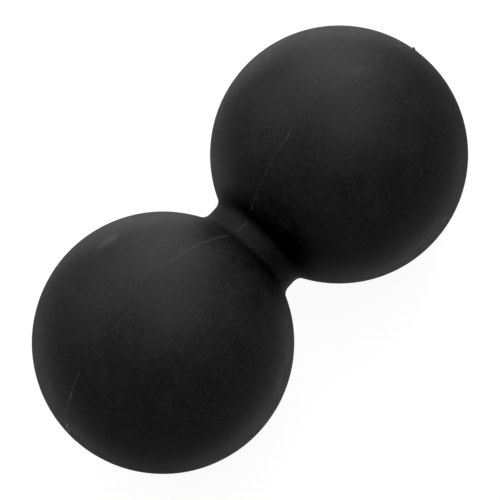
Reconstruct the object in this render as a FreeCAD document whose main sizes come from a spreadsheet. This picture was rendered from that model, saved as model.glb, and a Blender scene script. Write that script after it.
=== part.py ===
"""Double massage ball: two firm cores tied together by a peg, inside a soft skin moulded in two halves.

The frame is in millimetres. Its origin is the middle of the waist, +X runs through both ball centres and
+Z is up. The halves of the skin meet on the plane y = 0, so their seam runs lengthways over the top.
"""
import FreeCAD, Part
import math
import os
import Sketcher

FOLDER = "parts"
SIDES = {"left": -1, "right": 1}
H_AXIS, V_AXIS = -1, -2  # a sketch's own axes, as the sketcher numbers them
START, END, CENTRE = 1, 2, 3  # the points of a line or an arc, as the sketcher numbers them
ALONG_X = FreeCAD.Rotation(FreeCAD.Vector(0, 1, 0), 90)  # turns a primitive's own +Z to +X
AGAINST_X = FreeCAD.Rotation(FreeCAD.Vector(0, 1, 0), -90)

doc = FreeCAD.newDocument("massage_ball")
sizes = doc.addObject("Spreadsheet::Sheet", "sizes")


def write_sizes():
    """Fills the sheet: the driving dimensions first, then those that follow from them."""
    rows = [
        ("ball_diameter", "63", "each ball, over the skin"),
        ("ball_spacing", "63", "between the ball centres, so the balls would just touch"),
        ("waist_diameter", "26", "round waist between the balls"),
        ("waist_fillet", "3", "radius from the waist to each ball"),
        ("skin_thickness", "6.5", "skin over each core"),
        ("link_diameter", "14", "peg through the waist"),
        ("link_length", "42", "peg from end to end"),
        ("link_chamfer", "1.5", "lead-in on both ends of the peg"),
        ("glue_space", "1", "left past each end of the peg, inside the core"),
        ("core_diameter", "=ball_diameter - 2 * skin_thickness", "firm ball inside the skin"),
        ("socket_end", "=link_length / 2 + glue_space", "from the origin to the end of each socket"),
    ]
    for number, (alias, value, meaning) in enumerate(rows, start=1):
        sizes.set(f"A{number}", meaning)
        sizes.set(f"B{number}", value)
        sizes.setAlias(f"B{number}", alias)
    doc.recompute()


def origin_plane(body, role):
    """One of a body's own origin planes, such as XZ_Plane."""
    return next(plane for plane in body.Origin.OriginFeatures if plane.Role == role)


def body_with_sketch(label, role):
    """A new body, and its first sketch on one of its own origin planes."""
    body = doc.addObject("PartDesign::Body", label)
    body.Label = label
    body.Placement = FreeCAD.Placement()
    sketch = body.newObject("Sketcher::SketchObject", f"{label}_section")
    sketch.AttachmentSupport = [(origin_plane(body, role), "")]
    sketch.MapMode = "FlatFace"
    return body, sketch


def line(start, end):
    return Part.LineSegment(FreeCAD.Vector(*start, 0), FreeCAD.Vector(*end, 0))


def arc(centre, radius, start, end):
    """An arc that turns counter-clockwise from the angle start to the angle end."""
    circle = Part.Circle(FreeCAD.Vector(*centre, 0), FreeCAD.Vector(0, 0, 1), radius)
    return Part.ArcOfCircle(circle, start, end)


def join(sketch, kind, *places):
    sketch.addConstraint(Sketcher.Constraint(kind, *places))


def bind(sketch, name, expression, kind, *places):
    """Adds a dimension to a sketch and ties it to the sheet."""
    index = sketch.addConstraint(Sketcher.Constraint(kind, *places))
    sketch.renameConstraint(index, name)
    sketch.setExpression(f"Constraints.{name}", expression)


def draw_skin_section(sketch):
    """Draws the right half of the skin's section: the ball, the fillet and waist, then the cavity back."""
    centre_x = sizes.ball_spacing / 2
    ball = sizes.ball_diameter / 2
    core = sizes.core_diameter / 2
    waist = sizes.waist_diameter / 2
    tunnel = sizes.link_diameter / 2
    fillet = sizes.waist_fillet
    fillet_x = centre_x - math.sqrt((ball + fillet) ** 2 - (waist + fillet) ** 2)
    fillet_angle = math.atan2(waist + fillet, fillet_x - centre_x)  # round the ball, to the fillet
    mouth_x = centre_x - math.sqrt(core**2 - tunnel**2)
    mouth_angle = math.atan2(tunnel, mouth_x - centre_x)  # round the core, to the tunnel
    straight_down = 1.5 * math.pi

    outside = sketch.addGeometry(arc((centre_x, 0), ball, 0, fillet_angle))
    bend = sketch.addGeometry(
        arc((fillet_x, waist + fillet), fillet, straight_down, fillet_angle + math.pi)
    )
    neck = sketch.addGeometry(line((fillet_x, waist), (0, waist)))
    middle = sketch.addGeometry(line((0, waist), (0, tunnel)))
    bore = sketch.addGeometry(line((0, tunnel), (mouth_x, tunnel)))
    cavity = sketch.addGeometry(arc((centre_x, 0), core, 0, mouth_angle))
    pole = sketch.addGeometry(line((centre_x + core, 0), (centre_x + ball, 0)))

    join(sketch, "Tangent", outside, END, bend, END)
    join(sketch, "Tangent", bend, START, neck, START)
    join(sketch, "Coincident", neck, END, middle, START)
    join(sketch, "Coincident", middle, END, bore, START)
    join(sketch, "Coincident", bore, END, cavity, END)
    join(sketch, "Coincident", cavity, START, pole, START)
    join(sketch, "Coincident", pole, END, outside, START)
    join(sketch, "Coincident", cavity, CENTRE, outside, CENTRE)
    join(sketch, "PointOnObject", outside, CENTRE, H_AXIS)
    join(sketch, "PointOnObject", pole, START, H_AXIS)
    join(sketch, "PointOnObject", pole, END, H_AXIS)
    join(sketch, "PointOnObject", middle, START, V_AXIS)
    join(sketch, "Vertical", middle)
    join(sketch, "Horizontal", neck)
    join(sketch, "Horizontal", bore)
    bind(sketch, "ball_radius", "sizes.ball_diameter / 2", "Radius", outside, ball)
    bind(sketch, "core_radius", "sizes.core_diameter / 2", "Radius", cavity, core)
    bind(sketch, "fillet_radius", "sizes.waist_fillet", "Radius", bend, fillet)
    bind(sketch, "centre_x", "sizes.ball_spacing / 2", "DistanceX", H_AXIS, START, outside, CENTRE, centre_x)
    bind(sketch, "waist_radius", "sizes.waist_diameter / 2", "DistanceY", H_AXIS, START, middle, START, waist)
    bind(sketch, "tunnel_radius", "sizes.link_diameter / 2", "DistanceY", H_AXIS, START, middle, END, tunnel)


def skin_half(label, rear):
    """One half of the skin: the section turned half a turn round X, then mirrored to the other ball."""
    body, sketch = body_with_sketch(label, "XZ_Plane")
    draw_skin_section(sketch)
    doc.recompute()
    half_turn = body.newObject("PartDesign::Revolution", f"{label}_half_turn")
    half_turn.Profile = sketch
    half_turn.ReferenceAxis = (sketch, ["H_Axis"])
    half_turn.Angle = 180
    half_turn.Reversed = rear
    doc.recompute()
    both_balls = body.newObject("PartDesign::Mirrored", f"{label}_both_balls")
    both_balls.Originals = [half_turn]
    both_balls.MirrorPlane = (origin_plane(body, "YZ_Plane"), [""])
    body.Tip = both_balls
    return body


def core_ball(side):
    """A firm ball with a blind socket for the peg, open towards the waist."""
    label = f"core_ball_{side}"
    direction = SIDES[side]
    ball = doc.addObject("Part::Sphere", f"{label}_blank")
    ball.setExpression("Radius", "sizes.core_diameter / 2")
    socket = doc.addObject("Part::Cylinder", f"{label}_socket")
    socket.Placement.Rotation = ALONG_X if direction > 0 else AGAINST_X
    socket.setExpression("Radius", "sizes.link_diameter / 2")
    socket.setExpression("Height", "sizes.socket_end")
    socket.setExpression("Placement.Base.x", f"{-direction} * sizes.ball_spacing / 2")
    core = doc.addObject("Part::Cut", label)
    core.Label = label
    core.Base = ball
    core.Tool = socket
    core.setExpression("Placement.Base.x", f"{direction} * sizes.ball_spacing / 2")
    return core


def core_link():
    """The peg that ties the cores together through the waist, with a lead-in on both ends."""
    body, sketch = body_with_sketch("core_link", "YZ_Plane")
    rim = sketch.addGeometry(
        Part.Circle(FreeCAD.Vector(0, 0, 0), FreeCAD.Vector(0, 0, 1), sizes.link_diameter / 2)
    )
    join(sketch, "Coincident", rim, CENTRE, H_AXIS, START)
    bind(sketch, "link_radius", "sizes.link_diameter / 2", "Radius", rim, sizes.link_diameter / 2)
    peg = body.newObject("PartDesign::Pad", "core_link_peg")
    peg.Profile = sketch
    peg.SideType = "Symmetric"
    peg.setExpression("Length", "sizes.link_length")
    doc.recompute()
    lead_in = body.newObject("PartDesign::Chamfer", "core_link_lead_in")
    rims = [f"Edge{number}" for number, edge in enumerate(peg.Shape.Edges, start=1) if edge.isClosed()]
    lead_in.Base = (peg, rims)
    lead_in.setExpression("Size", "sizes.link_chamfer")
    body.Tip = lead_in
    return body


def check(subparts):
    """Stops the build if any object failed, or if a sub-part isn't one sound solid."""
    for item in doc.Objects:
        if "Invalid" in item.State or "Error" in item.State:
            raise RuntimeError(f"{item.Name} failed: {item.State}")
    for part in subparts:
        shape = part.Shape
        if shape.isNull() or not shape.isValid() or len(shape.Solids) != 1:
            raise RuntimeError(f"{part.Label} isn't one valid solid")


def export(subparts):
    os.makedirs(FOLDER, exist_ok=True)
    for part in subparts:
        part.Shape.exportStep(f"{FOLDER}/{part.Label}.step")
        box = part.Shape.BoundBox
        print(
            f"{part.Label}: {part.Shape.Volume / 1000:.2f} cm3, "
            f"x {box.XMin:.2f} {box.XMax:.2f}, "
            f"y {box.YMin:.2f} {box.YMax:.2f}, "
            f"z {box.ZMin:.2f} {box.ZMax:.2f}"
        )


write_sizes()
parts = [
    skin_half("skin_front_half", rear=False),
    skin_half("skin_rear_half", rear=True),
    core_ball("left"),
    core_ball("right"),
    core_link(),
]
doc.recompute()
check(parts)
export(parts)
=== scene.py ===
import bmesh
import bpy
import math
import numpy as np
from mathutils import Matrix, Vector, noise


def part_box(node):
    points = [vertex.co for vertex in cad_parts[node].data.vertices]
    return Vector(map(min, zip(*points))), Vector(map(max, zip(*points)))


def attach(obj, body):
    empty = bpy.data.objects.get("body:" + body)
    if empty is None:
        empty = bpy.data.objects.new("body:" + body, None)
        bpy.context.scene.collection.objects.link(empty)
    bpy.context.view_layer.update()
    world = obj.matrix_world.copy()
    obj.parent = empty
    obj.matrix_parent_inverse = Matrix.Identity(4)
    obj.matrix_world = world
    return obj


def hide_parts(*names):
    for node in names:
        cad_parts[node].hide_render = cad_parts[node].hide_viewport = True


# A double massage ball: black satin rubber, moulded in two halves that meet on the plane y = 0.
# Everything is in metres, in the frame of the CAD model: +X through both balls, +Z up.
# A place on the seam is given in degrees round its ball: 0 at the ball's outer pole, 90 at the top and about
# 158 at the middle of the waist. Underneath, the degrees are negative.

MM = 0.001

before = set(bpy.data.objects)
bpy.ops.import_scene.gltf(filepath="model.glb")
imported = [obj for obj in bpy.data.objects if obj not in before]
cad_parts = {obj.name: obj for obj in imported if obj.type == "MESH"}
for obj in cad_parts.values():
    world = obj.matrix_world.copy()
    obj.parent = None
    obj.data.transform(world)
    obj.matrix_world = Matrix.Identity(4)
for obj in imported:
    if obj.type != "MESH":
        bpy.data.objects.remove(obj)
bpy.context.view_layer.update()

# ---------------------------------------------------------------- sizes

skin_low, skin_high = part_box("skin_front_half")
_, core_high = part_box("core_ball_right")
_, link_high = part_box("core_link")

BALL = skin_high.z  # radius of each ball, over the skin
CENTRE = skin_high.x - BALL  # from the origin to each ball's centre, along X
CORE = core_high.z  # radius of each core, and of the skin's cavity for it
TUNNEL = link_high.z  # radius of the skin's tunnel for the link
WAIST = 13 * MM  # radius of the waist
FILLET = 3 * MM  # radius from the waist to each ball

WAVE_HEIGHT = 0.02 * MM  # slow waviness of the moulded surface
WAVE_LENGTH = 9 * MM
STEP_HEIGHT = 0.025 * MM  # by which the rear half of the mould stood proud at the seam
STEP_FADE = 2.5 * MM  # from the seam to where the step is down to a third, and the waviness at full height

FLASH_HEIGHT = 0.10 * MM  # of the raised line where the mould's halves met
FLASH_WIDTH = 0.16 * MM  # from its crest to where it is down to a third
FLASH_GRAIN = 1.7 * MM  # length of its uneven bits
FLASH_EVEN, FLASH_UNEVEN = 0.8, 0.35  # shares of its height: the same everywhere, and coming and going
# Stretches of the seam where the flash stands higher: from and to in degrees, and how much. Elsewhere it is
# nearly trimmed away.
FLASH_STRETCHES = {
    "right": [(108, 150, 1.0), (156, 160, 1.0), (56, 92, 0.35), (31, 38, 0.6)],
    "left": [(112, 151, 1.0), (156, 160, 1.0), (22, 52, 0.7)],
}
FLASH_RISE = 2  # degrees before and after each end of a stretch, over which the flash rises or drops
FLASH_ELSEWHERE = 0.15

# Torn tags of flash: degrees, length along the seam, height.
TAGS = {"right": (21, 2.0 * MM, 0.6 * MM), "left": (13.5, 2.6 * MM, 0.3 * MM)}
TAG_WIDTH = 0.3 * MM  # from the crest to where the tag is down to a third
TAG_GRAIN = 0.35 * MM  # length of the nicks in its edge
TAG_EVEN, TAG_UNEVEN = 0.8, 0.4  # shares of its height, as for the flash

GONE = 3  # the flash, a tag and the step end at this many times their width or fade

# Rows of the skin's mesh, from the middle of the waist to a ball's widest circle.
WAIST_ROWS, FILLET_ROWS, BALL_ROWS = 3, 10, 58
ROW_STEP = 0.6 * MM  # between rows past the widest circle, along the seam
TAG_STEP = 0.12 * MM  # the same, round a tag
FIRST_COLUMN, WIDEST_COLUMN = math.radians(0.1), math.radians(1.8)  # apart, at the seam and far off it
COLUMN_GROWTH = 1.1  # from one gap between columns to the next
CAVITY_COLUMN = math.radians(7)  # between all the columns of the cavity's mesh


# ---------------------------------------------------------------- skin meshes

def add_object(name, data):
    """A new object in the scene, from a mesh, a light or a camera."""
    made = bpy.data.objects.new(name, data)
    bpy.context.scene.collection.objects.link(made)
    return made


def side_of(x):
    return "right" if x >= 0 else "left"


def degrees_from_pole(x, z):
    """Degrees round the nearer ball from its outer pole, over the top; negative underneath."""
    return math.degrees(math.atan2(z, abs(x) - CENTRE))


def ramp(value, low, high):
    """0 below low, 1 above high, smooth between them."""
    t = min(max((value - low) / (high - low), 0), 1)
    return t * t * (3 - 2 * t)


def flash_strength(x, z):
    """How much of its full height the flash has at this place on the seam."""
    angle = degrees_from_pole(x, z)
    strength = FLASH_ELSEWHERE
    for start, end, full in FLASH_STRETCHES[side_of(x)]:
        begun = ramp(angle, start - FLASH_RISE, start + FLASH_RISE)
        ended = ramp(angle, end - FLASH_RISE, end + FLASH_RISE)
        strength = max(strength, full * (begun * (1 - ended)))
    ragged = noise.noise(Vector((x, 0, z)) / FLASH_GRAIN)
    return strength * (FLASH_EVEN + FLASH_UNEVEN * ragged)


def tag_height(x, z):
    """Height of a torn tag of flash at this place on the seam."""
    angle, length, height = TAGS[side_of(x)]
    along = math.radians(degrees_from_pole(x, z) - angle) * BALL / (length / 2)
    if abs(along) >= 1:
        return 0
    torn = noise.noise(Vector((x, 0, z)) / TAG_GRAIN)
    return height * math.sqrt(1 - along * along) * (TAG_EVEN + TAG_UNEVEN * torn)


def relief(point, front):
    """How far the moulded surface stands off its true shape: waviness, flash, tags and the mould's step."""
    x, y, z = point
    away = abs(y)
    height = WAVE_HEIGHT * noise.noise(Vector(point) / WAVE_LENGTH)
    if away < GONE * STEP_FADE:
        height *= ramp(away, 0, STEP_FADE)
        height += 0 if front else STEP_HEIGHT * math.exp(-away / STEP_FADE)
    if away < GONE * FLASH_WIDTH:
        height += FLASH_HEIGHT * flash_strength(x, z) * math.exp(-((away / FLASH_WIDTH) ** 2))
    if away < GONE * TAG_WIDTH:
        height += tag_height(x, z) * math.exp(-((away / TAG_WIDTH) ** 2))
    return height


def graded(first, growth, largest, total):
    """Places from 0 to total, close together at 0 and spreading out to steps of about largest."""
    places, step = [0.0], first
    while places[-1] < total:
        places.append(places[-1] + step)
        step = min(step * growth, largest)
    return [place * total / places[-1] for place in places]


def section(ball, waist, fillet, rows):
    """A round outline between the balls' widest circles, as x, radius, and the normal's x and radius.

    The rows are how many there are on the waist, the fillet and the ball, from the middle outwards.
    """
    waist_rows, fillet_rows, ball_rows = rows
    bend_x = CENTRE - math.sqrt((ball + fillet) ** 2 - (waist + fillet) ** 2)
    meet = math.atan2(waist + fillet, bend_x - CENTRE)
    half = [(x, waist, 0.0, 1.0) for x in np.linspace(0, bend_x, waist_rows + 1)]
    for a in np.linspace(0, meet - math.pi / 2, fillet_rows + 1)[1:]:
        nx, nr = -math.sin(a), math.cos(a)
        half.append((bend_x - fillet * nx, waist + fillet * (1 - nr), nx, nr))
    for a in np.linspace(meet, math.pi / 2, ball_rows + 1)[1:]:
        nx, nr = math.cos(a), math.sin(a)
        half.append((CENTRE + ball * nx, ball * nr, nx, nr))
    other_half = [(-x, radius, -nx, nr) for x, radius, nx, nr in reversed(half[1:])]
    return other_half + half


class Shell:
    """Half of a surface of two balls and a waist, as a grid of vertices and faces in a bmesh.

    Rows follow the outline, and columns are angles off the seam. The grid ends at each ball's widest circle.
    A cap covers the rest of the ball, with rows at angles of its own, the rounds. The function lift says how
    far the surface stands off its plain shape at each place.
    """

    def __init__(self, bm, front, ball, outline, columns, rounds, lift):
        self.bm, self.side, self.lift = bm, (-1 if front else 1), lift
        self.last = len(columns) - 1  # the column furthest from the seam, on the balls' front or rear
        across = columns + [math.pi - a for a in reversed(columns[:-1])]
        self.rows = [[self.turned(*point, a) for a in across] for point in outline]
        self.caps = {end: self.cap(end, ball, columns, rounds[end]) for end in (1, -1)}
        self.faces = self.fill()

    def turned(self, x, radius, nx, nr, angle):
        """The vertex for a point of the outline, turned from the top of the seam to the front or rear."""
        aside, up = math.sin(angle), math.cos(angle)
        return self.vertex((x, radius * aside, radius * up), (nx, nr * aside, nr * up))

    def vertex(self, place, normal):
        place = Vector((place[0], self.side * place[1], place[2]))
        normal = Vector((normal[0], self.side * normal[1], normal[2]))
        return self.bm.verts.new(place + normal * self.lift(place))

    def cap(self, end, ball, columns, angles):
        """Rows over a ball's outer half, from its top to its underside; all of them end in one vertex."""
        ring = self.rows[-1 if end > 0 else 0]
        rows = [ring[: self.last + 1]]
        for a in angles[1:-1]:
            row = []
            for b in columns[:-1]:
                normal = (end * math.cos(b) * math.cos(a), math.sin(b), math.cos(b) * math.sin(a))
                place = (end * CENTRE + ball * normal[0], ball * normal[1], ball * normal[2])
                row.append(self.vertex(place, normal))
            rows.append(row + [ring[self.last]])
        rows.append(list(reversed(ring[self.last :])))
        return rows

    def fill(self):
        """Faces between each row and the next: triangles at the vertex that a cap's rows share, or quads."""
        faces = []
        for grid in (self.rows, self.caps[1], self.caps[-1]):
            for one, other in zip(grid, grid[1:]):
                for a, b, c, d in zip(one, one[1:], other[1:], other):
                    corners = (a, b, d) if b is c else (a, b, c, d)
                    faces.append(self.bm.faces.new(corners))
        return faces

    def rim(self):
        """The vertices on the seam, once round."""
        top = [row[0] for row in self.rows]
        bottom = [row[-1] for row in reversed(self.rows)]
        right = [row[0] for row in self.caps[1][1:-1]]
        left = [row[0] for row in reversed(self.caps[-1][1:-1])]
        return top + right + bottom + left


def cap_angles(end):
    """Angles over a ball's outer half, from its top round to its underside, close together at the tag."""
    tag_angle, tag_length, _ = TAGS[side_of(end)]
    near = tag_length / BALL
    angles, angle = [math.pi / 2], math.pi / 2
    while angle > -math.pi / 2:
        off = abs(angle - math.radians(tag_angle))
        angle -= (TAG_STEP if off < near else ROW_STEP) / BALL
        angles.append(angle)
    angles[-1] = -math.pi / 2
    return angles


def close_seam(bm, outer_rim, inner_rim):
    """Adds the faces where this half meets the other, with sharp edges along the outside and the cavity."""
    for k, vertex in enumerate(outer_rim):
        bm.faces.new((outer_rim[k - 1], vertex, inner_rim[k], inner_rim[k - 1]))
        for rim in (outer_rim, inner_rim):
            bm.edges.get((rim[k - 1], rim[k])).smooth = False


def skin_half(name, front):
    """One half of the skin: its moulded outside, its cavity for the cores and link, and what joins them."""
    bm = bmesh.new()
    rounds = {end: cap_angles(end) for end in (1, -1)}
    outside = Shell(
        bm, front, BALL, section(BALL, WAIST, FILLET, (WAIST_ROWS, FILLET_ROWS, BALL_ROWS)),
        graded(FIRST_COLUMN, COLUMN_GROWTH, WIDEST_COLUMN, math.pi / 2), rounds,
        lambda place: relief(place, front),
    )
    inside = Shell(
        bm, front, CORE, section(CORE, TUNNEL, 0, (WAIST_ROWS + FILLET_ROWS, 0, BALL_ROWS)),
        graded(CAVITY_COLUMN, 1, CAVITY_COLUMN, math.pi / 2), rounds, lambda place: 0,
    )
    close_seam(bm, outside.rim(), inside.rim())
    for face in outside.faces + inside.faces:
        face.smooth = True
    bmesh.ops.recalc_face_normals(bm, faces=bm.faces)
    mesh = bpy.data.meshes.new(name)
    bm.to_mesh(mesh)
    bm.free()
    return add_object(name, mesh)


# ---------------------------------------------------------------- camera

BALLS_AWAY = 18  # distance from the camera to the waist, in ball radii
OFF_CENTRE = (0.0137, 0.0169)  # of the waist in the picture, right and up, in ball radii
LENS = 168.4  # mm
SENSOR = 36  # mm wide
AXIS_RISES = math.radians(46.92)  # the long axis, above the picture's horizontal
AXIS_RECEDES = math.radians(8.6)  # the right-hand ball, away from the camera
SEAM_TURNS = math.radians(22.75)  # the seam, round X and away from the camera


def make_camera():
    """Makes the camera and gives the rotation that takes its right, up and backwards to the part's frame."""
    data = bpy.data.cameras.new("camera")
    data.lens = LENS
    data.sensor_width = SENSOR
    camera = add_object("camera", data)
    to_camera = (
        Matrix.Rotation(AXIS_RISES, 3, "Z")
        @ Matrix.Rotation(AXIS_RECEDES, 3, "Y")
        @ Matrix.Rotation(-SEAM_TURNS, 3, "X")
    )
    from_camera = to_camera.inverted()
    right, up = OFF_CENTRE
    place = from_camera @ Vector((-right, -up, BALLS_AWAY)) * BALL
    camera.matrix_world = Matrix.Translation(place) @ from_camera.to_4x4()
    bpy.context.scene.camera = camera
    return from_camera


# ---------------------------------------------------------------- materials

PALE_RUBBER = (0.4, 0.4, 0.39, 1)  # where the surface is scuffed, torn or dusty, and as a painted glint round the left tag
# Stretches where the flash is pale: torn rubber, and round the left tag also a painted glint. From and to in
# degrees, and how pale.
TORN_AND_GLINT_STRETCHES = {
    "right": [
        (156.5, 160, 0.35),
        (146.5, 149.5, 0.3),
        (111, 147, 0.1),
        (108.5, 112, 0.25),
        (68, 84, 0.08),
        (59, 61, 0.15),
        (32, 37, 0.4),
        (17.5, 24.5, 2.0),
    ],
    "left": [
        (156.5, 160, 0.2),
        (142, 151, 0.2),
        (128, 143, 0.15),
        (112, 129, 0.18),
        (33, 50, 0.12),
        (34, 38, 0.5),
        (22, 33, 0.22),
        # Torn rubber round the left tag, made paler still as a painted glint.
        (9, 16, 2.0),
    ],
}
TORN_RISE = 1  # degrees before and after each end of a stretch, as for the flash
TORN_WIDTH = {"right": 0.285 * MM, "left": 0.405 * MM}  # from the middle of the pale line to its edge
TORN_GRAIN, TORN_FAINTEST = 1.6, 0.55  # size of its uneven bits in millimetres, and the faintest's paleness
# Marks of use. Each runs from a start to an end, given in degrees as on the seam and degrees off the seam,
# positive to the rear. Then come its width and how strongly it shows.
SCRATCHES = {
    "right": [
        ((69, -22), (61, -21), 0.3 * MM, 0.09),
        ((68, -24), (62, -23), 0.3 * MM, 0.07),
        ((67, -20), (64, -20), 0.3 * MM, 0.06),
        ((89, -3), (59, 1), 0.5 * MM, 0.05),
        ((11, -84.7), (-20, -80.4), 1.4 * MM, 0.35),
        ((-9, -85), (-33, -81.4), 1.2 * MM, 0.16),
    ],
    "left": [
        ((132, -22), (139, -32), 0.4 * MM, 0.06),
        ((69, 0), (81, -5), 0.4 * MM, 0.05),
        ((73, -16), (75, -28), 0.35 * MM, 0.04),
        ((60, -29), (72, -32), 0.35 * MM, 0.05),
    ],
}
SMUDGES = {
    "right": [((73, -1), (61, -3), 3 * MM, 0.07)],
    "left": [((96, 33), (115, 32), 4.5 * MM, 0.19), ((45, 32), (48, 32), 1.2 * MM, 0.16)],
}
# How both are pushed about, as a size in millimetres and a reach, and how softly they end.
SCRATCH_WOBBLE, SCRATCH_SOFTNESS = (1.3, 0.12 * MM), 0.6
SMUDGE_WOBBLE, SMUDGE_SOFTNESS = (2.5, 0.7 * MM), 0.7
SPECKS = (3.2, 0.2, 0.3)  # of dust: spacing and radius in millimetres, and the share of places that have one
SPECK_STRENGTH = 0.12
# Faint straight scuffs: how they are turned from the X axis in degrees, their length and width in
# millimetres, and how strongly they show.
STREAKS = [((10, 25, 40), 9.0, 0.35, 0.035), ((60, -20, -35), 6.0, 0.3, 0.03)]
STREAK_EDGE = (0.62, 0.76)  # how high the noise is where a streak begins to show, and where it shows in full

# The skin's unevenness at three sizes, in millimetres, and what each adds to its shade.
MOTTLE_SIZE, BLOTCH_SIZE, CLOUD_SIZE = 7.0, 1.5, 0.6
MOTTLE_SHARE, BLOTCH_SHARE, CLOUD_SHARE = 0.35, 0.35, 0.3
# Colours of the skin, and of the painted shade on the band round the waist, each at its darkest and at its
# lightest.
SKIN_TONES = (0.010, 0.010, 0.0102, 1), (0.031, 0.031, 0.0312, 1)
WAIST_SHADE_TONES = (0.004, 0.004, 0.004, 1), (0.015, 0.015, 0.015, 1)
GROOVE_SHADE_TONE = (0.003, 0.003, 0.003, 1)  # painted shade, in the groove on both sides of the band round the waist
WAIST_SHADE_EDGE = (1.9 * MM, 2.5 * MM)  # off the middle of the waist: where the painted shade on its band fades, and where that band ends
GROOVE_END = 6.5 * MM  # off the middle of the waist
WAIST_UNEVENNESS = 0.3 * MM  # by which both stray to either side
SATIN = (0.50, 0.60)  # the skin's roughness, at its smoothest and at its roughest
UNPOLISHED = 0.15  # at most added to that, where the skin is scuffed, in the groove or seen edge on
EDGE_ON = (0.6, 0.95)  # how far the skin is turned from the eye, where that starts and where it is complete
EDGE_ON_SHARE = 0.9  # of UNPOLISHED, where that is complete
PEEL_DEPTH, GRAIN_DEPTH, SCRATCH_DEPTH = 0.02 * MM, 0.006 * MM, 0.03 * MM  # of what is too fine for the mesh

# Inside rubber: colours at the darkest and at the lightest, and of the filler's flecks.
CORE_TONES = (0.07, 0.07, 0.075), (0.13, 0.13, 0.14), (0.3, 0.3, 0.3)
LINK_TONES = (0.25, 0.15, 0.06), (0.38, 0.25, 0.12), (0.5, 0.4, 0.25)
MATT = (0.62, 0.78)  # its roughness, at its smoothest and at its roughest
PORE_DEPTH, FIRM_GRAIN_DEPTH = 0.05 * MM, 0.02 * MM


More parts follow.
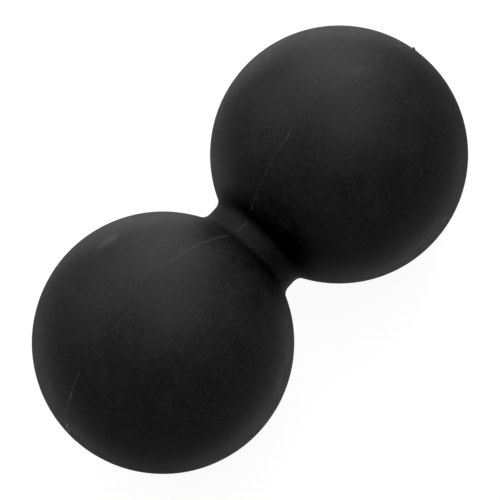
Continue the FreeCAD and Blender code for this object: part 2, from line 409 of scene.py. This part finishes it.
class Rubber:
    """A node material under construction: rubber whose detail is laid out in millimetres on the part."""

    def __init__(self, name):
        self.material = bpy.data.materials.new(name)
        self.material.use_nodes = True
        self.tree = self.material.node_tree
        self.shader = self.tree.nodes["Principled BSDF"]
        self.metres = self.node("ShaderNodeTexCoord").outputs["Object"]
        scaled = self.node("ShaderNodeVectorMath", operation="SCALE")
        self.feed(scaled.inputs["Vector"], self.metres)
        scaled.inputs["Scale"].default_value = 1 / MM
        self.place = scaled.outputs["Vector"]

    def node(self, kind, **settings):
        made = self.tree.nodes.new(kind)
        for setting, value in settings.items():
            setattr(made, setting, value)
        return made

    def feed(self, socket, value):
        """Gives a socket another node's output, or a value of its own."""
        if isinstance(value, bpy.types.NodeSocket):
            self.tree.links.new(value, socket)
        else:
            socket.default_value = value

    def maths(self, operation, *values):
        made = self.node("ShaderNodeMath", operation=operation)
        for socket, value in zip(made.inputs, values):
            self.feed(socket, value)
        return made.outputs["Value"]

    def remap(self, value, low, high, to_low=0.0, to_high=1.0):
        """Takes low to to_low and high to to_high, smoothly and without going past them."""
        made = self.node("ShaderNodeMapRange", interpolation_type="SMOOTHSTEP")
        for socket, given in zip(made.inputs, (value, low, high, to_low, to_high)):
            self.feed(socket, given)
        return made.outputs["Result"]

    def noise(self, size, detail=2.0, place=None):
        """Noise from 0 to 1 whose blotches are about size across, in millimetres."""
        made = self.node("ShaderNodeTexNoise")
        self.feed(made.inputs["Vector"], place or self.place)
        made.inputs["Scale"].default_value = 1 / size
        made.inputs["Detail"].default_value = detail
        return made.outputs["Fac"]

    def mix(self, factor, one, other):
        made = self.node("ShaderNodeMixRGB")
        for socket, value in zip(made.inputs, (factor, one, other)):
            self.feed(socket, value)
        return made.outputs["Color"]

    def bump(self, height, distance, under=None):
        made = self.node("ShaderNodeBump")
        self.feed(made.inputs["Height"], height)
        made.inputs["Distance"].default_value = distance
        if under:
            self.feed(made.inputs["Normal"], under)
        return made.outputs["Normal"]

    def specks(self, spacing, radius, share):
        """1 inside small round specks, one to a cell of about spacing, in the given share of the cells."""
        cells = self.node("ShaderNodeTexVoronoi")
        self.feed(cells.inputs["Vector"], self.place)
        cells.inputs["Scale"].default_value = 1 / spacing
        edge = radius / spacing
        near = self.remap(cells.outputs["Distance"], 0.5 * edge, edge, 1.0, 0.0)
        chosen = self.maths("LESS_THAN", self.red(cells.outputs["Color"]), share)
        return self.maths("MULTIPLY", near, chosen)

    def coordinates(self):
        """The place's own x, y and z, in metres."""
        split = self.node("ShaderNodeSeparateXYZ")
        self.feed(split.inputs["Vector"], self.metres)
        return split.outputs

    def red(self, colour):
        """A colour's red, which is a number of its own for each cell where colours are drawn at random."""
        made = self.node("ShaderNodeSeparateColor")
        self.feed(made.inputs["Color"], colour)
        return made.outputs["Red"]

    def strongest(self, masks):
        """The highest of several masks, at each place."""
        result = masks[0]
        for mask in masks[1:]:
            result = self.maths("MAXIMUM", result, mask)
        return result

    def facing_away(self):
        """0 where the surface is seen square on, and 1 where it is seen edge on."""
        return self.node("ShaderNodeLayerWeight").outputs["Facing"]

    def streaks(self, turn, length, width, strength):
        """Faint straight scuffs, all running the way that turn (angles in degrees) takes the X axis."""
        stretched = self.node("ShaderNodeMapping", vector_type="TEXTURE")
        self.feed(stretched.inputs["Vector"], self.place)
        stretched.inputs["Rotation"].default_value = [math.radians(angle) for angle in turn]
        stretched.inputs["Scale"].default_value = (length, width, width)
        blotches = self.noise(1.0, 1.0, stretched.outputs["Vector"])
        return self.remap(blotches, *STREAK_EDGE, 0.0, strength)

    def torn_flash_and_glint(self):
        """How much pale rubber there is along the crest of the flash: torn rubber, and a painted glint round
        the left tag.
        """
        x, y, z = self.coordinates()
        off_seam = self.maths("ABSOLUTE", y)
        from_centre = self.maths("SUBTRACT", self.maths("ABSOLUTE", x), CENTRE)
        angle = self.maths("DEGREES", self.maths("ARCTAN2", z, from_centre))
        on_right = self.maths("GREATER_THAN", x, 0.0)
        sides = {"right": on_right, "left": self.maths("SUBTRACT", 1.0, on_right)}
        lines = []
        for side, on_side in sides.items():
            stretches = []
            for start, end, full in TORN_AND_GLINT_STRETCHES[side]:
                begun = self.remap(angle, start - TORN_RISE, start + TORN_RISE, 0.0, full)
                not_ended = self.remap(angle, end - TORN_RISE, end + TORN_RISE, 1.0, 0.0)
                stretches.append(self.maths("MULTIPLY", begun, not_ended))
            crest = self.remap(off_seam, 0.0, TORN_WIDTH[side], 1.0, 0.0)
            line = self.maths("MULTIPLY", crest, self.strongest(stretches))
            lines.append(self.maths("MULTIPLY", line, on_side))
        ragged = self.remap(self.noise(TORN_GRAIN, 3.0), 0.3, 0.7, TORN_FAINTEST, 1.0)
        return self.maths("MULTIPLY", self.strongest(lines), ragged)

    def mark(self, side, start, end, width, place):
        """From 1 in the middle of a long thin mark on a ball to 0 at its edge."""
        one, other = (on_ball(side, *angles) for angles in (start, end))
        depth = BALL / 3  # in and out of the rubber, well past the ball's curve along the mark
        outwards = (one + other).normalized()
        along = (other - one).normalized()
        axes = Matrix((along, outwards.cross(along), outwards)).transposed()
        local = self.node("ShaderNodeMapping", vector_type="TEXTURE")
        self.feed(local.inputs["Vector"], place)
        local.inputs["Location"].default_value = ball_centre(side) + outwards * BALL
        local.inputs["Rotation"].default_value = axes.to_euler()
        local.inputs["Scale"].default_value = ((other - one).length * BALL / 2, width / 2, depth)
        fade = self.node("ShaderNodeTexGradient", gradient_type="SPHERICAL")
        self.feed(fade.inputs["Vector"], local.outputs["Vector"])
        return fade.outputs["Fac"]

    def wobbled(self, size, reach):
        """The place in metres, pushed about by up to reach so that marks don't run straight."""
        push = self.node("ShaderNodeTexNoise")
        self.feed(push.inputs["Vector"], self.place)
        push.inputs["Scale"].default_value = 1 / size
        centred = self.node("ShaderNodeVectorMath", operation="SUBTRACT")
        self.feed(centred.inputs[0], push.outputs["Color"])
        centred.inputs[1].default_value = (0.5, 0.5, 0.5)
        added = self.node("ShaderNodeVectorMath", operation="MULTIPLY_ADD")
        self.feed(added.inputs[0], centred.outputs["Vector"])
        added.inputs[1].default_value = (2 * reach, 2 * reach, 2 * reach)
        self.feed(added.inputs[2], self.metres)
        return added.outputs["Vector"]

    def marks(self, table, place, edge):
        """All the marks of a table together, each as strong as the table says; edge is how soft they are."""
        masks = []
        for side, rows in table.items():
            for start, end, width, strength in rows:
                inside = self.mark(side, start, end, width, place)
                masks.append(self.remap(inside, 0.0, edge, 0.0, strength))
        return self.strongest(masks)


def ball_centre(side):
    return Vector((CENTRE if side == "right" else -CENTRE, 0, 0))


def on_ball(side, along, aside):
    """Outwards at a place given in degrees from a ball's outer pole over the top, and off the seam."""
    along, aside = math.radians(along), math.radians(aside)
    outer = 1 if side == "right" else -1
    in_plane = math.cos(aside)
    return Vector((outer * math.cos(along) * in_plane, math.sin(aside), math.sin(along) * in_plane))


def round_waist(rubber):
    """Two masks, both a little uneven: the band round the waist, and the groove on both sides of it; both
    are painted shade in the colour.
    """
    unevenly = rubber.remap(rubber.noise(2.5, 3.0), 0.3, 0.7, -WAIST_UNEVENNESS, WAIST_UNEVENNESS)
    off_middle = rubber.maths("ADD", rubber.maths("ABSOLUTE", rubber.coordinates()[0]), unevenly)
    waist_shade = rubber.remap(off_middle, *WAIST_SHADE_EDGE, 1.0, 0.0)
    groove = rubber.remap(off_middle, WAIST_SHADE_EDGE[1], GROOVE_END, 1.0, 0.0)
    return waist_shade, groove


def pale_marks(rubber, scratches, cloud):
    """All that is pale on the skin: the torn flash with its painted glint, scratches, smudges, specks of
    dust and faint streaks.
    """
    smudges = rubber.maths(
        "MULTIPLY",
        rubber.marks(SMUDGES, rubber.wobbled(*SMUDGE_WOBBLE), SMUDGE_SOFTNESS),
        rubber.remap(cloud, 0.0, 1.0, 0.35, 1.0),
    )
    specks = rubber.maths("MULTIPLY", rubber.specks(*SPECKS), SPECK_STRENGTH)
    streaks = rubber.strongest([rubber.streaks(*streak) for streak in STREAKS])
    return rubber.strongest([rubber.torn_flash_and_glint(), scratches, smudges, specks, streaks])


def skin_relief(rubber, scratches):
    """The finest relief: the mould's orange peel, a grain, and the scratches cut into both."""
    peel = rubber.bump(rubber.noise(1.1, 2.0), PEEL_DEPTH)
    grain = rubber.bump(rubber.noise(0.22, 3.0), GRAIN_DEPTH, under=peel)
    return rubber.bump(rubber.maths("SUBTRACT", 1.0, scratches), SCRATCH_DEPTH, under=grain)


def skin_rubber():
    """Black satin rubber, a little mottled and scuffed, with torn pale rubber along the flash, a painted
    glint round the left tag and painted shade round the waist.
    """
    rubber = Rubber("skin_rubber_satin")
    mottle = rubber.remap(rubber.noise(MOTTLE_SIZE, 4.0), 0.3, 0.7)
    blotch = rubber.remap(rubber.noise(BLOTCH_SIZE, 3.0), 0.35, 0.75)
    cloud = rubber.remap(rubber.noise(CLOUD_SIZE, 3.0), 0.35, 0.65)
    waist_shade, groove = round_waist(rubber)
    scratches = rubber.marks(SCRATCHES, rubber.wobbled(*SCRATCH_WOBBLE), SCRATCH_SOFTNESS)
    scuffs_and_glint = pale_marks(rubber, scratches, cloud)

    blotched = rubber.maths("MULTIPLY", blotch, BLOTCH_SHARE)
    clouded = rubber.maths("MULTIPLY", cloud, CLOUD_SHARE)
    mottled = rubber.maths("MULTIPLY", mottle, MOTTLE_SHARE)
    shade = rubber.maths("ADD", mottled, rubber.maths("ADD", blotched, clouded))
    # Painted shade in the base colour: darker round the waist, and darkest in the groove beside it.
    groove_shaded = rubber.mix(groove, rubber.mix(shade, *SKIN_TONES), GROOVE_SHADE_TONE)
    shaded_tone = rubber.mix(waist_shade, groove_shaded, rubber.mix(cloud, *WAIST_SHADE_TONES))
    rubber.feed(rubber.shader.inputs["Base Color"], rubber.mix(scuffs_and_glint, shaded_tone, PALE_RUBBER))

    satin = rubber.remap(rubber.maths("ADD", mottle, blotch), 0.0, 2.0, *SATIN)
    edge_on = rubber.remap(rubber.facing_away(), *EDGE_ON, 0.0, EDGE_ON_SHARE)
    unpolished = rubber.strongest([rubber.remap(scuffs_and_glint, 0.0, 0.33), groove, edge_on])
    rougher = rubber.maths("MULTIPLY", unpolished, UNPOLISHED)
    rubber.feed(rubber.shader.inputs["Roughness"], rubber.maths("ADD", satin, rougher))
    rubber.feed(rubber.shader.inputs["Normal"], skin_relief(rubber, scratches))
    return rubber.material


def firm_rubber(name, dark, light, fleck):
    """Matt moulded rubber inside the part: clouded, flecked with filler and finely grained."""
    dark, light, fleck = ((*colour, 1) for colour in (dark, light, fleck))
    rubber = Rubber(name)
    cloud = rubber.remap(rubber.noise(5.0, 4.0), 0.3, 0.7)
    flecks = rubber.specks(1.4, 0.3, 0.4)
    rubber.feed(
        rubber.shader.inputs["Base Color"],
        rubber.mix(rubber.maths("MULTIPLY", flecks, 0.5), rubber.mix(cloud, dark, light), fleck),
    )
    rubber.feed(rubber.shader.inputs["Roughness"], rubber.remap(rubber.noise(2.0, 3.0), 0.3, 0.7, *MATT))
    pores = rubber.bump(rubber.noise(0.9, 3.0), PORE_DEPTH)
    grain = rubber.bump(rubber.noise(0.25, 2.0), FIRM_GRAIN_DEPTH, under=pores)
    rubber.feed(rubber.shader.inputs["Normal"], grain)
    return rubber.material


# ---------------------------------------------------------------- studio

LIGHTS_AWAY = 1.2  # from the part to each softbox
# Each softbox: its direction from the part, as right, up and towards the camera, then the angle that it
# fills in degrees, and its radiance.
SOFTBOXES = {
    "top": ((0, 1, 0.1), 45, 1.5),
    "overhead": ((0.15, 0.5, 0.85), 40, 1.1),
    "left": ((-0.7, 0.6, 0.35), 45, 0.65),
    "under_back": ((-0.1, 0.55, -0.83), 50, 0.8),
    "under_left": ((-0.6, -0.25, -0.75), 50, 0.33),
    "under_right": ((0.5, -0.35, -0.8), 50, 0.36),
}
FLOOR_REACH = 4  # from the part to the floor's edges
FLOOR_GREY, FLOOR_ROUGHNESS, FLOOR_GLOW = 0.3, 0.9, 0.92
WORLD_SEEN, WORLD_LIGHT = 1.0, 0.19  # how bright the surroundings look, and how much light they give
BLACK_LEVEL = 0.005  # what the film shows as black


def softbox(name, from_camera, direction, angle, radiance):
    """A square soft light that faces the part, from a row of SOFTBOXES."""
    side = 2 * LIGHTS_AWAY * math.tan(math.radians(angle / 2))
    data = bpy.data.lights.new(name, "AREA")
    data.shape = "SQUARE"
    data.size = side
    data.energy = radiance * math.pi * side * side
    light = add_object(name, data)
    outwards = (from_camera @ Vector(direction)).normalized()
    light.location = outwards * LIGHTS_AWAY
    light.rotation_mode = "QUATERNION"
    light.rotation_quaternion = outwards.to_track_quat("Z", "Y")


def make_floor():
    """A floor that glows white, as a light table does. Lights under it shine through it on to the part."""
    level = skin_low.z
    corners = [(x * FLOOR_REACH, y * FLOOR_REACH, level) for x, y in ((-1, -1), (1, -1), (1, 1), (-1, 1))]
    mesh = bpy.data.meshes.new("floor")
    mesh.from_pydata(corners, [], [(0, 1, 2, 3)])
    material = bpy.data.materials.new("floor_white")
    material.use_nodes = True
    shader = material.node_tree.nodes["Principled BSDF"]
    shader.inputs["Base Color"].default_value = (FLOOR_GREY, FLOOR_GREY, FLOOR_GREY, 1)
    shader.inputs["Roughness"].default_value = FLOOR_ROUGHNESS
    shader.inputs["Specular IOR Level"].default_value = 0
    shader.inputs["Emission Color"].default_value = (1, 1, 1, 1)
    shader.inputs["Emission Strength"].default_value = FLOOR_GLOW
    mesh.materials.append(material)
    floor = add_object("floor", mesh)
    floor.visible_diffuse = False
    floor.visible_glossy = False
    floor.visible_shadow = False


def make_world():
    """Pale where the camera looks straight at it, and dim as a light: the softboxes light the part."""
    world = bpy.data.worlds.new("studio")
    world.use_nodes = True
    tree = world.node_tree
    ray = tree.nodes.new("ShaderNodeLightPath")
    strength = tree.nodes.new("ShaderNodeMapRange")
    tree.links.new(ray.outputs["Is Camera Ray"], strength.inputs["Value"])
    strength.inputs["To Min"].default_value = WORLD_LIGHT
    strength.inputs["To Max"].default_value = WORLD_SEEN
    background = tree.nodes["Background"]
    background.inputs["Color"].default_value = (1, 1, 1, 1)
    tree.links.new(strength.outputs["Result"], background.inputs["Strength"])
    bpy.context.scene.world = world


def set_film():
    """Plain colours, with the darkest tones taken down to black as in a catalogue picture."""
    film = bpy.context.scene.view_settings
    film.view_transform = "Standard"
    film.use_curve_mapping = True
    film.curve_mapping.black_level = (BLACK_LEVEL, BLACK_LEVEL, BLACK_LEVEL)
    film.curve_mapping.update()


# ---------------------------------------------------------------- making

from_camera = make_camera()
rubber = skin_rubber()
for name, front in (("skin_front", True), ("skin_rear", False)):
    piece = skin_half(name, front)
    piece.data.materials.append(rubber)
    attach(piece, "root")
    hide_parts(f"{name}_half")

core_material = firm_rubber("core_rubber_firm", *CORE_TONES)
link_material = firm_rubber("link_rubber_firm", *LINK_TONES)
for node, material in (
    ("core_ball_left", core_material),
    ("core_ball_right", core_material),
    ("core_link", link_material),
):
    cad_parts[node].material_slots[0].material = material

make_floor()
make_world()
for name, settings in SOFTBOXES.items():
    softbox(name, from_camera, *settings)
set_film()
